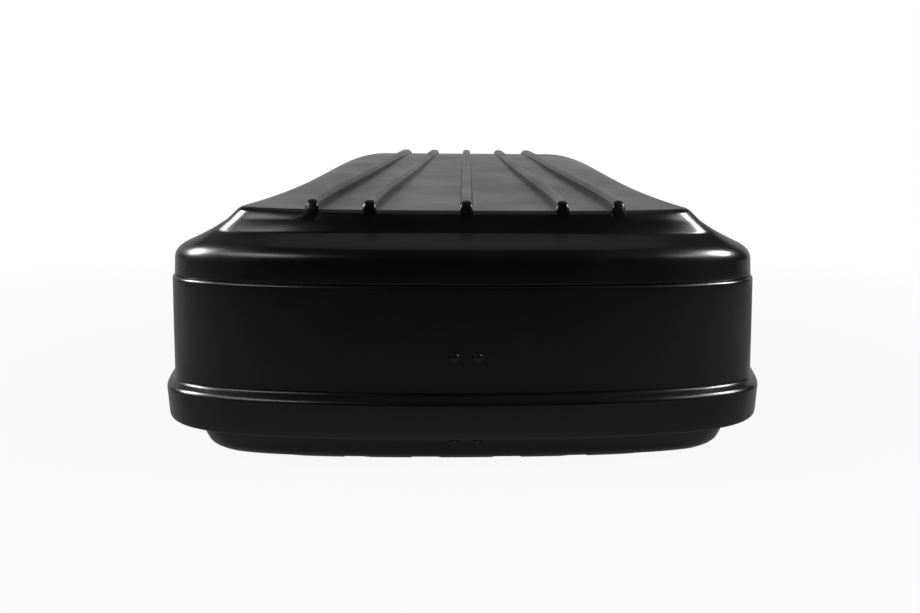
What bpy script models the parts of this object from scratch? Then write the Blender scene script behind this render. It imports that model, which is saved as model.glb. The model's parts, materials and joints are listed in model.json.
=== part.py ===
"""A roof box: a ribbed lid, hinged along one side, over a shallow base tray.

Metres, +Z up. The box rests at z = 0 on the pads under its base. Its blunt rear end
faces -Y, its nose +Y, the hinges lie along -X and the lock along +X. A depth is a
distance from the rear end or from the nose end, along Y towards the middle.
"""

import math
from collections import namedtuple

import bmesh
import bpy
from mathutils import Matrix, Vector
from mathutils.bvhtree import BVHTree

# Overall size
LENGTH = 1.400
WIDTH = 0.808
SHEET = 0.004
GAP = 0.0003

# Plan outline: how far the rounding of each end reaches along the sides
REAR_ROUND = 0.240
NOSE_ROUND = 0.360
REAR_CORNER = 0.93
NOSE_CORNER = 0.80
NOSE_POWER = 2.4
NARROWING = 0.380

# Heights of the lid's forms, at the middle of the rear end
SKIRT_BOTTOM = 0.0344
SKIRT_TOP = 0.0795
SKIRT_DRAFT = 0.002
LEDGE_OUTER = 0.0841
LEDGE_INNER = 0.0908
LEDGE_RISE = 0.012
LEDGE_RISE_START = 0.120
LEDGE_RISE_END = 0.280
STEP = 0.2291
CREASE = 0.2744
PLATEAU_FOOT = 0.2951
PLATEAU_REAR = 0.3210
CREST = 0.3650
CREST_DEPTH = 0.980
NOSE_FALL = 0.90
SIDE_DIP = 0.0115
NOSE_DROP = 0.0525
NOSE_DROP_START = 0.700

# Insets of the lid's forms from the skirt's face
LEDGE_INSET = 0.0090
WALL_INSET = 0.0095
EDGE_ROUND = 0.016

# Ribs on the lid's top
RIB_REAR = (0.0, 0.125, 0.199)
RIB_NOSE = (0.0, 0.048, 0.096)
RIB_BEND = 0.500
RIB_HEIGHT_REAR = 0.011
RIB_HEIGHT_CREST = 0.007
RIB_WIDTH_REAR = 0.018
RIB_WIDTH_CREST = 0.014
RIB_TOP_SHARE = 0.62
RIB_RAMP = 0.004
RIB_FADE_START = 1.060
RIB_FADE_END = 1.190

# Base tray
LIP_INSET = 0.0115
LIP_TOP = 0.0855
PAN_ROUND = 0.130
FLANGE = 0.0385
PAD_DEPTH = 0.0020
PAD_EDGES = ((0.0, 0.033), (0.072, 0.124), (0.159, 0.211))
PAD_RAMP = 0.0030

# Rail and slot for the roof bars' bolts, on each side of the floor
RAIL_X = 0.185
RAIL_LENGTH = 0.760
RAIL_WIDTH = 0.040
RAIL_SHEET = 0.0025
RAIL_BEAD = 0.004
SLOT_Y = 0.220
SLOT_LENGTH = 0.180
SLOT_WIDTH = 0.010
COVER_MARGIN = 0.009
COVER_SHEET = 0.003
KEY_BOTTOM = 0.0005
COUNTERSINK = 0.0020

# Hinges along the left side
HINGE_COUNT = 3
HINGE_PITCH = 0.310
HINGE_MIDDLE = -0.050
HINGE_LENGTH = 0.064
HINGE_PIN = 0.0025
KNUCKLE = 0.0045
KNUCKLE_CLEAR = 0.001
LEAF_SHEET = 0.002
LEAF_HEIGHT = 0.032
LEAF_REACH = 0.036
LUG_LENGTH = 0.016

# Folding stay at each end
LOWER_ARM = 0.300
UPPER_ARM = 0.280
STAY_WIDTH = 0.016
STAY_SHEET = 0.0025
STAY_PLANE = {-1: 0.0585, 1: 0.1120}
STAY_PIN = 0.003
STAY_LOW = (-0.020, 0.030)
STAY_HIGH = (-0.012, 0.139)
BRACKET_LEFT = -0.032
BRACKET_RIGHT = 0.024
BRACKET_SHEET = 0.002
BRACKET_FOOT = 0.013
BRACKET_EAR = 0.011
RIVET_SPACING = 0.030

# Rivets
RIVET_HEAD = 0.0065
RIVET_DOME = 0.0030
RIVET_SHANK = 0.0024
RIVET_TAIL = 0.0042
RIVET_TAIL_HEIGHT = 0.0012
SMALL_RIVET_HEAD = 0.0040
SMALL_RIVET_DOME = 0.0014

# Lock on the right side
LOCK_Z = 0.118
BARREL = 0.0100
HOUSING_SIDE = 0.030
HOUSING_DEPTH = 0.0140
COLLAR = 0.0140
COLLAR_HEIGHT = 0.0022
CAM = 0.0125
CAM_SHEET = 0.0022
CAM_PIN_REACH = 0.0085
CAM_PIN = 0.0025
KEYWAY = (0.0012, 0.0070, 0.0040)

# Locking bar, its guides and its catches
BAR_SHEET = 0.003
BAR_BOTTOM = 0.100
BAR_HEIGHT = 0.016
BAR_LENGTH = 0.700
BAR_TRAVEL = 0.012
HOOK_PITCH = 0.300
HOOK_WIDTH = 0.012
HOOK_BOTTOM = 0.060
TOE_LENGTH = 0.010
TOE_HEIGHT = 0.006
FORK_HALF = 0.014
FORK_TOP = 0.124
FORK_SLOT = 0.0064
GUIDE_LENGTH = 0.016
GUIDE_WALL = 0.003
GUIDE_PITCH = 0.160
CATCH_LENGTH = 0.022
CATCH_SHEET = 0.002
RUNNING = 0.0005

# Colours: red, green, blue, roughness, metallic
BLACK_PLASTIC = (0.012, 0.012, 0.013, 0.42, 0.0)
DARK_PLASTIC = (0.020, 0.020, 0.021, 0.55, 0.0)
RUBBER = (0.016, 0.016, 0.016, 0.80, 0.0)
ZINC = (0.62, 0.63, 0.65, 0.38, 1.0)
BLACK_RIVET = (0.015, 0.015, 0.016, 0.30, 0.0)
CHROME = (0.80, 0.80, 0.82, 0.15, 1.0)

# One ring of a formed sheet: insets from the skirt's face at the rear, the sides and the
# nose, its height at the middle of the rear, and how it changes round the box
Ring = namedtuple("Ring", "rear side nose height dip drop round narrow rise")


def ring(rear, side, nose, height, dip=0.0, drop=0.0, round_end=REAR_ROUND, narrow=0.0, rise=0.0):
    return Ring(rear, side, nose, height, dip, drop, round_end, narrow, rise)


def smooth(value, low, high):
    """0 below low, 1 above high, and a smooth rise between."""
    share = min(1.0, max(0.0, (value - low) / (high - low)))
    return share * share * (3.0 - 2.0 * share)


def row_y(depth, end=-1):
    """Y at a depth from the rear end (end -1) or from the nose end (end +1)."""
    return end * (LENGTH / 2 - depth)


# Outline of one ring, with depths from the rear end


def body_half_width(item, depth):
    """Half width of a ring where its ends' rounding doesn't reach."""
    gone = 1.0 - math.exp(-max(0.0, depth - item.rear) / NARROWING)
    return WIDTH / 2 - item.side - item.narrow * gone


def rear_share(item, depth):
    reach = item.round - item.rear
    share = min(1.0, max(0.0, 1.0 - (depth - item.rear) / reach))
    return math.sqrt(1.0 - share**4)


def nose_share(item, depth):
    reach = NOSE_ROUND - item.nose
    share = min(1.0, max(0.0, 1.0 - (LENGTH - item.nose - depth) / reach))
    return math.sqrt(1.0 - share**NOSE_POWER)


def half_width(item, depth):
    return body_half_width(item, depth) * min(rear_share(item, depth), nose_share(item, depth))


def rear_depth(item, x):
    """Depth of a ring's rear edge at x."""
    depth = item.rear
    for _ in range(8):
        share = min(1.0, abs(x) / body_half_width(item, depth))
        depth = item.rear + (item.round - item.rear) * (1.0 - (1.0 - share**2) ** 0.25)
    return depth


def nose_depth(item, x):
    """Depth, from the rear end, of a ring's nose edge at x."""
    depth = LENGTH - item.nose
    for _ in range(8):
        share = min(1.0, abs(x) / body_half_width(item, depth))
        back = 1.0 - (1.0 - share**2) ** (1.0 / NOSE_POWER)
        depth = LENGTH - item.nose - (NOSE_ROUND - item.nose) * back
    return depth


def rear_corner(item):
    """Depth where the rear edge of a ring ends and its side starts."""
    share = (1.0 - REAR_CORNER**2) ** 0.25
    return item.rear + (item.round - item.rear) * (1.0 - share)


def nose_corner(item):
    share = (1.0 - NOSE_CORNER**2) ** (1.0 / NOSE_POWER)
    return LENGTH - item.nose - (NOSE_ROUND - item.nose) * (1.0 - share)


def ring_height(item, x, depth):
    across = min(1.0, abs(x) / body_half_width(item, depth)) ** 2
    across += (1.0 - across) * smooth(depth, REAR_ROUND, LENGTH / 2)
    drop = item.drop * smooth(depth, NOSE_DROP_START, LENGTH - item.nose)
    rise = item.rise * smooth(depth, LEDGE_RISE_START, LEDGE_RISE_END)
    return item.height - item.dip * across - drop + rise


def ring_point(item, place, share):
    """A point of a ring. place is rear, right, nose or left; share runs from -1 to 1 over
    an end and from 0 (rear) to 1 (nose) over a side."""
    if place == "rear":
        x = share * half_width(item, rear_corner(item))
        depth = rear_depth(item, x)
    elif place == "nose":
        x = share * half_width(item, nose_corner(item))
        depth = nose_depth(item, x)
    else:
        depth = rear_corner(item) + share * (nose_corner(item) - rear_corner(item))
        x = half_width(item, depth) * (1 if place == "right" else -1)
    return x, depth


# Shell with a gridded top, which the lid and the base share


class Shell:
    """A formed sheet: rings from its open rim to its last ring, and a grid inside that."""

    def __init__(self, rings, columns, middle_shares, cover):
        self.rings = rings
        self.border = rings[-1]
        self.columns = columns
        self.rows = list(zip(middle_shares, SIDE_SHARES))
        self.cover = cover

    def row_ends(self, row):
        middle, side = row
        border = self.border
        low, high = rear_corner(border), nose_corner(border)
        length = LENGTH - border.nose - border.rear
        return border.rear + middle * length, low + side * (high - low)

    def grid_point(self, column, row):
        """Where a column crosses a row, by a few rounds of refinement."""
        middle, end = self.row_ends(row)
        border = self.border
        edge = half_width(border, end)
        rear_bow = rear_corner(border) - border.rear
        nose_bow = nose_corner(border) - (LENGTH - border.nose)
        x = 0.0
        for _ in range(6):
            share = min(1.0, abs(x) / edge) if column not in (0, -1) else 1.0
            at_rear = share * half_width(border, rear_corner(border))
            at_nose = share * half_width(border, nose_corner(border))
            bend_rear = (rear_depth(border, at_rear) - border.rear) / rear_bow
            bend_nose = (nose_depth(border, at_nose) - (LENGTH - border.nose)) / nose_bow
            bend = bend_rear + (bend_nose - bend_rear) * row[1]
            depth = middle + (end - middle) * bend
            x = self.columns(depth, edge)[column]
        if column in (0, -1):
            x = math.copysign(half_width(border, depth), x)
        return x, depth

    def build(self, bm):
        count = len(self.columns(LENGTH / 2, WIDTH / 2))
        grid = []
        for row in self.rows:
            line = []
            for column in range(count):
                index = column if column < count - 1 else -1
                x, depth = self.grid_point(index, row)
                z = self.cover(x, depth)
                line.append(bm.verts.new((x, row_y(depth), z)))
            grid.append(line)
        for low, high in zip(grid, grid[1:]):
            for i in range(count - 1):
                bm.faces.new((low[i], low[i + 1], high[i + 1], high[i]))
        inner, places = self.border_loop(grid)
        for item in reversed(self.rings[:-1]):
            outer = []
            for place, share in places:
                x, depth = ring_point(item, place, share)
                outer.append(bm.verts.new((x, row_y(depth), ring_height(item, x, depth))))
            for i in range(len(inner)):
                j = (i + 1) % len(inner)
                bm.faces.new((outer[i], outer[j], inner[j], inner[i]))
            inner = outer

    def border_loop(self, grid):
        """The grid's border vertices in order, with the place of each on any ring."""
        border = self.border
        rear_edge = half_width(border, rear_corner(border))
        nose_edge = half_width(border, nose_corner(border))
        loop = [(v, "rear", v.co.x / rear_edge) for v in grid[0]]
        sides = list(zip(grid[1:-1], self.rows[1:-1]))
        loop += [(line[-1], "right", row[1]) for line, row in sides]
        loop += [(v, "nose", v.co.x / nose_edge) for v in reversed(grid[-1])]
        loop += [(line[0], "left", row[1]) for line, row in reversed(sides)]
        return [v for v, _, _ in loop], [(place, share) for _, place, share in loop]


# Lid


def top_height(depth):
    """Height of the plateau along the middle of the lid."""
    share = (depth - PLATEAU.rear) / (CREST_DEPTH - PLATEAU.rear)
    share = min(1.0, max(0.0, share))
    rise = (CREST - PLATEAU_REAR) * math.sin(share * math.pi / 2) ** 1.25
    return PLATEAU_REAR + rise - NOSE_FALL * max(0.0, depth - CREST_DEPTH) ** 2


def edge_drop(x, depth):
    """How far the plateau has rounded off near its edge."""
    near = min(
        depth - rear_depth(PLATEAU, x),
        half_width(PLATEAU, depth) - abs(x),
        nose_depth(PLATEAU, x) - depth,
    )
    share = 1.0 - min(1.0, max(0.0, near) / EDGE_ROUND)
    return EDGE_ROUND / 2 * share**2


def rib_centre(index, depth):
    """X of a rib's middle; the sign of index gives the side."""
    rear, nose = RIB_REAR[abs(index)], RIB_NOSE[abs(index)]
    x = nose + (rear - nose) / (1.0 + (depth / RIB_BEND) ** 2.5)
    return math.copysign(x, index) if index else 0.0


def along_rib(rear, crest, depth):
    return rear + (crest - rear) * smooth(depth, 0.0, CREST_DEPTH)


def rib_half(depth):
    return along_rib(RIB_WIDTH_REAR, RIB_WIDTH_CREST, depth) / 2


def rib_lift(x, depth):
    """Height of the ribs over the plateau."""
    for index in range(-2, 3):
        off = abs(x - rib_centre(index, depth)) / rib_half(depth)
        if off < 1.0:
            break
    else:
        return 0.0
    across = 1.0 - smooth(off, RIB_TOP_SHARE, 1.0)
    start = min(1.0, max(0.0, (depth - rear_depth(PLATEAU, x)) / RIB_RAMP))
    end = 1.0 - smooth(depth, RIB_FADE_START, RIB_FADE_END)
    height = along_rib(RIB_HEIGHT_REAR, RIB_HEIGHT_CREST, depth)
    return height * across * start * end


def lid_cover(x, depth):
    return top_height(depth) - edge_drop(x, depth) + rib_lift(x, depth)


def lid_columns(depth, edge):
    """X of each lengthwise line of the lid's top: four to a rib, and a few between."""
    half = rib_half(depth)
    right = [0.0 + half * RIB_TOP_SHARE, 0.0 + half]
    for index in (1, 2):
        middle = rib_centre(index, depth)
        right.append((right[-1] + middle - half) / 2)
        right += [middle - half, middle - half * RIB_TOP_SHARE]
        right += [middle + half * RIB_TOP_SHARE, middle + half]
    span = edge - right[-1]
    right += [right[-1] + span * share for share in (0.30, 0.58, 0.82)]
    right.append(edge)
    return [-x for x in reversed(right)] + right


PLATEAU = ring(0.066, 0.086, 0.190, 0.0, round_end=0.150, narrow=0.123)

LID_RINGS = (
    ring(SKIRT_DRAFT, SKIRT_DRAFT, SKIRT_DRAFT, SKIRT_BOTTOM, rise=LEDGE_RISE),
    ring(0.0, 0.0, 0.0, SKIRT_TOP, rise=LEDGE_RISE),
    ring(0.0040, 0.0040, 0.0040, LEDGE_OUTER, rise=LEDGE_RISE),
    ring(0.0085, LEDGE_INSET, 0.0095, LEDGE_INNER, rise=LEDGE_RISE),
    ring(0.0136, WALL_INSET, 0.0350, STEP - 0.0016, drop=NOSE_DROP),
    ring(0.0150, 0.0110, 0.0365, STEP, drop=NOSE_DROP),
    ring(0.0175, 0.0135, 0.0385, STEP + 0.0002, drop=NOSE_DROP),
    ring(0.0190, 0.0140, 0.0550, CREASE - 0.0125, SIDE_DIP, 0.0455),
    ring(0.0212, 0.0158, 0.0610, CREASE - 0.0035, SIDE_DIP, 0.0455),
    ring(0.0268, 0.0215, 0.0760, CREASE + 0.0015, SIDE_DIP, 0.0455),
    ring(0.0490, 0.0540, 0.1300, PLATEAU_FOOT, 0.008, 0.036, 0.190, 0.050),
    PLATEAU,
)

SIDE_SHARES = (0.0, 0.03, 0.07, 0.14, 0.25, 0.37, 0.49, 0.61, 0.72, 0.81, 0.86, 0.91, 0.96, 1.0)
LID_MIDDLE_SHARES = (0.0, 0.0035, 0.014, 0.06, 0.14, 0.24, 0.35, 0.46, 0.57, 0.68, 0.79, 0.89, 0.965, 1.0)
BASE_MIDDLE_SHARES = (0.0, 0.02, 0.06, 0.13, 0.24, 0.36, 0.48, 0.60, 0.71, 0.80, 0.87, 0.93, 0.975, 1.0)

# Base


def floor_cover(x, _depth):
    """Height of the base's underside: flat pads along it, a little lower than the rest."""
    off = min(max(low - abs(x), abs(x) - high) for low, high in PAD_EDGES)
    return PAD_DEPTH * min(1.0, max(0.0, off / PAD_RAMP))


def floor_columns(_depth, edge):
    """X of each lengthwise line of the floor: both sides of each pad's ramps."""
    right = []
    for low, high in PAD_EDGES:
        right += [low - PAD_RAMP, low] if low > 0 else []
        right += [high, high + PAD_RAMP]
    span = edge - right[-1]
    right += [right[-1] + span * share for share in (0.35, 0.62, 0.84, 1.0)]
    return [-x for x in reversed(right)] + right


FLOOR_EDGE = ring(0.056, 0.100, 0.066, PAD_DEPTH, round_end=PAN_ROUND)

BASE_RINGS = (
    ring(LIP_INSET, LIP_INSET, LIP_INSET, LIP_TOP),
    ring(LIP_INSET, LIP_INSET, LIP_INSET, FLANGE),
    ring(0.030, 0.053, 0.034, FLANGE, round_end=PAN_ROUND),
    ring(0.0325, 0.0555, 0.037, 0.0280, round_end=PAN_ROUND),
    ring(0.0375, 0.065, 0.043, 0.0100, round_end=PAN_ROUND),
    ring(0.045, 0.080, 0.052, 0.0035, round_end=PAN_ROUND),
    FLOOR_EDGE,
)

# Objects and materials


def attach(made, parent, place):
    """Puts an object at a place in the world, as a child of parent."""
    place = Vector(place)
    made.parent = parent
    while parent:
        place -= parent.location
        parent = parent.parent
    made.location = place


def material(name, look):
    made = bpy.data.materials.get(name)
    if made:
        return made
    made = bpy.data.materials.new(name)
    made.use_nodes = True
    shader = made.node_tree.nodes["Principled BSDF"]
    shader.inputs["Base Color"].default_value = (*look[:3], 1.0)
    shader.inputs["Roughness"].default_value = look[3]
    shader.inputs["Metallic"].default_value = look[4]
    made.diffuse_color = (*look[:3], 1.0)
    return made


def finish(name, bm, look, parent=None, origin=(0.0, 0.0, 0.0)):
    """Turns a bmesh in world coordinates into an object whose origin is at origin."""
    bmesh.ops.recalc_face_normals(bm, faces=bm.faces)
    bmesh.ops.translate(bm, verts=bm.verts, vec=-Vector(origin))
    mesh = bpy.data.meshes.new(name)
    bm.to_mesh(mesh)
    bm.free()
    mesh.shade_smooth()
    mesh.set_sharp_from_angle(angle=math.radians(35))
    made = bpy.data.objects.new(name, mesh)
    bpy.context.scene.collection.objects.link(made)
    made.data.materials.append(material(f"{name}_material", look))
    attach(made, parent, origin)
    return made


def tool(name, bm):
    """A cutter or an added body, which stays out of the model itself."""
    made = finish(name, bm, DARK_PLASTIC)
    made.hide_render = True
    made.display_type = "WIRE"
    return made


def combine(target, operation, other):
    modifier = target.modifiers.new(other.name, "BOOLEAN")
    modifier.operation = operation
    modifier.solver = "EXACT"
    modifier.object = other


def empty(name, place, parent=None):
    """A joint's axis, which the pieces that turn or slide with it hang from."""
    made = bpy.data.objects.new(name, None)
    bpy.context.scene.collection.objects.link(made)
    attach(made, parent, place)
    return made


# Solids in world coordinates, added to a bmesh


def prism(bm, outline, axis, low, high):
    """Extrudes an outline along X, Y or Z. The outline's pairs are YZ, XZ or XY."""
    index = "XYZ".index(axis)

    def place(pair, along):
        point = list(pair)
        point.insert(index, along)
        return point

    bottom = [bm.verts.new(place(pair, low)) for pair in outline]
    top = [bm.verts.new(place(pair, high)) for pair in outline]
    bm.faces.new(bottom)
    bm.faces.new(top)
    for i in range(len(outline)):
        j = (i + 1) % len(outline)
        bm.faces.new((bottom[i], bottom[j], top[j], top[i]))


def turned(bm, profile, origin, axis, segments=12):
    """Turns (along, radius) pairs about an axis. The first and last radius may be 0."""
    turn = Vector(axis).normalized().to_track_quat("Z", "Y").to_matrix().to_4x4()
    matrix = Matrix.Translation(Vector(origin)) @ turn
    rings = []
    for along, radius in profile:
        if radius == 0.0:
            rings.append([bm.verts.new(matrix @ Vector((0.0, 0.0, along)))])
            continue
        line = []
        for k in range(segments):
            angle = math.tau * (k + 0.5) / segments
            local = Vector((radius * math.cos(angle), radius * math.sin(angle), along))
            line.append(bm.verts.new(matrix @ local))
        rings.append(line)
    for low, high in zip(rings, rings[1:]):
        for k in range(segments):
            m = (k + 1) % segments
            if len(low) == 1:
                bm.faces.new((low[0], high[m], high[k]))
            elif len(high) == 1:
                bm.faces.new((low[k], low[m], high[0]))
            else:
                bm.faces.new((low[k], low[m], high[m], high[k]))
    for line in (rings[0], rings[-1]):
        if len(line) > 1:
            bm.faces.new(line)


def hole_radius(radius, segments=12, clearance=GAP):
    """Corner radius of a faceted hole that clears a faceted shaft all round."""
    return (radius + clearance) / math.cos(math.pi / segments)


def rounded_slot(middle, length, width, steps=6):
    """Outline of a slot with round ends, along the second of its two coordinates."""
    points = []
    reach = length / 2 - width / 2
    for end, start in ((1, 0.0), (-1, math.pi)):
        for k in range(steps + 1):
            angle = start + math.pi * k / steps
            x = middle[0] + width / 2 * math.cos(angle)
            points.append((x, middle[1] + end * reach + width / 2 * math.sin(angle)))
    return points


def strip(points, thickness):
    """Outline of a bent sheet on the left of a path, with mitred corners."""
    points = [Vector(p) for p in points]
    other = []
    for i, point in enumerate(points):
        before = points[i] - points[i - 1] if i else points[1] - points[0]
        after = points[i + 1] - points[i] if i < len(points) - 1 else before
        one = Vector((-before.y, before.x)).normalized()
        two = Vector((-after.y, after.x)).normalized()
        mean = (one + two).normalized()
        other.append(point + mean * thickness / mean.dot(one))
    return [tuple(p) for p in points] + [tuple(p) for p in reversed(other)]


RivetSpot = namedtuple("RivetSpot", "place axis grip head dome")


def rivet(bm, spot, segments=8):
    """A dome-headed rivet. axis points out of its head, and grip is what it holds."""
    head, dome = spot.head, spot.dome
    profile = [
        (-spot.grip - GAP * 2 - RIVET_TAIL_HEIGHT, RIVET_TAIL * 0.8),
        (-spot.grip - GAP * 2, RIVET_TAIL),
        (-spot.grip - GAP * 2, RIVET_SHANK),
        (0.0, RIVET_SHANK),
        (0.0, head),
        (dome * 0.55, head * 0.86),
        (dome, 0.0),
    ]
    turned(bm, profile, Vector(spot.place) + Vector(spot.axis) * GAP, spot.axis, segments)


def rivet_hole(bm, spot, segments=8):
    reach = spot.grip + 0.003
    radius = hole_radius(RIVET_SHANK, segments)
    turned(bm, [(-reach, radius), (0.003, radius)], spot.place, spot.axis, segments)


def rivets(name, spots, parent=None):
    """Loose rivets, each of them an object."""
    for number, spot in enumerate(spots, 1):
        bm = bmesh.new()
        rivet(bm, spot, 12)
        finish(f"{name}_{number}", bm, BLACK_RIVET, parent, spot.place)


def fixed_rivets(made, spots):
    """Rivets that are one with the fitting they hold."""
    bm = bmesh.new()
    for spot in spots:
        rivet(bm, spot, 6)
    combine(made, "UNION", tool(f"add_{made.name}_rivets", bm))


def rivet_holes(name, spots):
    bm = bmesh.new()
    for spot in spots:
        rivet_hole(bm, spot)
    return tool(name, bm)


# Formed shells


def formed_sheet(name, shell, parent=None, origin=(0.0, 0.0, 0.0)):
    """The shell's outer face, thickened inwards, and a tree to find places on it."""
    bm = bmesh.new()
    shell.build(bm)
    bmesh.ops.recalc_face_normals(bm, faces=bm.faces)
    tree = BVHTree.FromBMesh(bm)
    made = finish(name, bm, BLACK_PLASTIC, parent, origin)
    sheet = made.modifiers.new("sheet", "SOLIDIFY")
    sheet.thickness = SHEET
    sheet.offset = -1.0
    sheet.use_even_offset = True
    sheet.use_quality_normals = True
    return made, tree


def on_face(tree, start, direction):
    """Where a line first meets the outer face, and the face's normal towards its start."""
    direction = Vector(direction)
    place, normal, _, _ = tree.ray_cast(Vector(start), direction)
    if normal.dot(direction) > 0:
        normal = -normal
    return place, normal


def end_face(tree, x, z, end):
    """The outer face of an end wall, met from outside."""
    return on_face(tree, (x, end * LENGTH, z), (0.0, -end, 0.0))


def inside_depth(tree, z, end):
    """Depth of an end wall's inner face, over the whole width of a bracket's flat foot."""
    depths = []
    for x in (0.0, BRACKET_LEFT):
        place, normal = end_face(tree, x, z, end)
        depths.append(LENGTH / 2 - end * place.y + SHEET / abs(normal.y))
    return max(depths)


# Folding stays

END_NAMES = {-1: "rear", 1: "nose"}


def end_rivets(tree, z, end):
    """The pair of rivets that holds a stay's bracket to an end wall."""
    foot = inside_depth(tree, z, end) + GAP
    spots = []
    for side in (-1, 1):
        place, normal = end_face(tree, side * RIVET_SPACING / 2, z, end)
        outer = LENGTH / 2 - end * place.y
        grip = (foot - outer) * abs(normal.y) + BRACKET_SHEET + GAP
        spots.append(RivetSpot(place, normal, grip, RIVET_HEAD, RIVET_DOME))
    return spots


def bracket(name, tree, end, foot, ear, ear_depth, holes, parent=None):
    """A bent bracket: foot on the end wall, web inwards, and an ear for the pivot."""
    low, high = foot
    near, far = (low, high) if abs(ear[0] - high) < abs(ear[0] - low) else (high, low)
    path = [
        (inside_depth(tree, near, end) + GAP, near),
        (inside_depth(tree, far, end) + GAP, far),
        (ear_depth, far),
        (ear_depth, ear[1]),
    ]
    turn = 1 if far < near else -1
    outline = strip(path, turn * BRACKET_SHEET)
    bm = bmesh.new()
    outline = [(row_y(depth, end), z) for depth, z in outline]
    prism(bm, outline, "X", BRACKET_LEFT, BRACKET_RIGHT)
    made = finish(name, bm, ZINC, parent)
    for hole in holes:
        combine(made, "DIFFERENCE", hole)
    return made


def stay_arm(name, start, finish_at, plane, end, holes, parent):
    """A flat arm with round ends, from pivot to pivot, in a plane across the box."""
    start, stop = Vector(start), Vector(finish_at)
    along = (stop - start).normalized()
    across = Vector((-along.y, along.x))
    outline = []
    for centre, sign in ((stop, 1), (start, -1)):
        for k in range(7):
            angle = math.pi * (k / 6 - 0.5)
            way = along * math.cos(angle) * sign + across * math.sin(angle) * sign
            outline.append(tuple(centre + way * STAY_WIDTH / 2))
    bm = bmesh.new()
    ys = sorted((row_y(plane, end), row_y(plane + STAY_SHEET, end)))
    prism(bm, outline, "Y", *ys)
    made = finish(name, bm, ZINC, parent, (start.x, ys[0], start.y))
    for hole in holes:
        combine(made, "DIFFERENCE", hole)
    return made


def cross_pin(name, point, low, high, end, parent, heads=(True, True)):
    """A pin along Y between two depths, with a head beyond each end that has one."""
    radius, head, height = STAY_PIN, STAY_PIN * 1.8, 0.0015
    profile = [(low, radius), (high, radius)]
    if heads[0]:
        profile = [(low - height, head), (low, head), *profile]
    if heads[1]:
        profile = [*profile, (high, head), (high + height, head)]
    bm = bmesh.new()
    turned(bm, profile, (point[0], row_y(0.0, end), point[1]), (0.0, -end, 0.0), 10)
    return finish(name, bm, ZINC, parent, (point[0], row_y(low, end), point[1]))


def pin_hole(name, point, low, high, end):
    radius = hole_radius(STAY_PIN, 10)
    bm = bmesh.new()
    origin = (point[0], row_y(0.0, end), point[1])
    turned(bm, [(low, radius), (high, radius)], origin, (0.0, -end, 0.0), 10)
    return tool(name, bm)


def stay_elbow():
    """X and Z of the elbow, right of the pivots, where the two arms' ends meet."""
    low, high = Vector(STAY_LOW), Vector(STAY_HIGH)
    span = (high - low).length
    along = (high - low) / span
    reach = (LOWER_ARM**2 - UPPER_ARM**2 + span**2) / (2 * span)
    off = math.sqrt(LOWER_ARM**2 - reach**2)
    return tuple(low + along * reach + Vector((along.y, -along.x)) * off)


def make_stay(end, base_tree, lid_tree, base_parent, lid_parent):
    """Both arms, both brackets, the pins and the rivets. Returns the rivets' hole tools."""
    name = END_NAMES[end]
    low_point, high_point = STAY_LOW, STAY_HIGH
    elbow = stay_elbow()
    lower_plane = STAY_PLANE[end]
    upper_plane = lower_plane + STAY_SHEET + GAP
    base_ear = lower_plane - GAP
    lid_ear = upper_plane + STAY_SHEET + GAP
    base_spots = end_rivets(base_tree, BASE_RIVET_Z, end)
    lid_spots = end_rivets(lid_tree, STAY_HIGH[1], end)
    base_holes = rivet_holes(f"cut_stay_base_{name}", base_spots)
    lid_holes = rivet_holes(f"cut_stay_lid_{name}", lid_spots)
    pivot_low = pin_hole(f"cut_pivot_low_{name}", low_point, base_ear - 0.010, upper_plane, end)
    pivot_high = pin_hole(f"cut_pivot_high_{name}", high_point, upper_plane - 0.002, lid_ear + 0.010, end)
    elbow_cut = pin_hole(f"cut_elbow_{name}", elbow, lower_plane - 0.002, upper_plane, end)
    foot = (BASE_RIVET_Z - BRACKET_EAR, BASE_RIVET_Z + BRACKET_EAR)
    bracket(
        f"stay_base_bracket_{name}", base_tree, end, foot,
        (foot[0], STAY_LOW[1] + BRACKET_EAR), base_ear, (base_holes, pivot_low), base_parent,
    )
    foot = (STAY_HIGH[1] - BRACKET_FOOT, STAY_HIGH[1] + BRACKET_FOOT)
    bracket(
        f"stay_lid_bracket_{name}", lid_tree, end, foot, (foot[1], STAY_HIGH[1] - BRACKET_EAR),
        lid_ear + BRACKET_SHEET, (lid_holes, pivot_high), lid_parent,
    )
    low_place = (low_point[0], row_y(lower_plane, end), low_point[1])
    lower_axis = empty(f"stay_{name}_lower_axis", low_place)
    high_place = (high_point[0], row_y(upper_plane, end), high_point[1])
    upper_axis = empty(f"stay_{name}_upper_axis", high_place, lid_parent)
    stay_arm(f"stay_lower_arm_{name}", low_point, elbow, lower_plane, end, (pivot_low, elbow_cut), lower_axis)
    stay_arm(f"stay_upper_arm_{name}", high_point, elbow, upper_plane, end, (pivot_high,), upper_axis)
    cross_pin(
        f"stay_base_pin_{name}", low_point, base_ear - BRACKET_SHEET - GAP,
        lower_plane + STAY_SHEET - 0.0004, end, base_parent, (True, False),
    )
    cross_pin(
        f"stay_lid_pin_{name}", high_point, upper_plane + 0.0004,
        lid_ear + BRACKET_SHEET + GAP, end, lid_parent, (False, True),
    )
    cross_pin(
        f"stay_elbow_pin_{name}", elbow, lower_plane - GAP,
        lower_plane + STAY_SHEET - 0.0004, end, lower_axis, (True, False),
    )
    rivets(f"stay_base_rivet_{name}", base_spots, base_parent)
    rivets(f"stay_lid_rivet_{name}", lid_spots, lid_parent)
    return base_holes, lid_holes


# Hinges

HINGE_X = -(WIDTH / 2 - SKIRT_DRAFT - SHEET) + KNUCKLE + KNUCKLE_CLEAR
HINGE_Z = FLANGE - GAP - KNUCKLE
BASE_RIVET_Z = 0.0240


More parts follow.
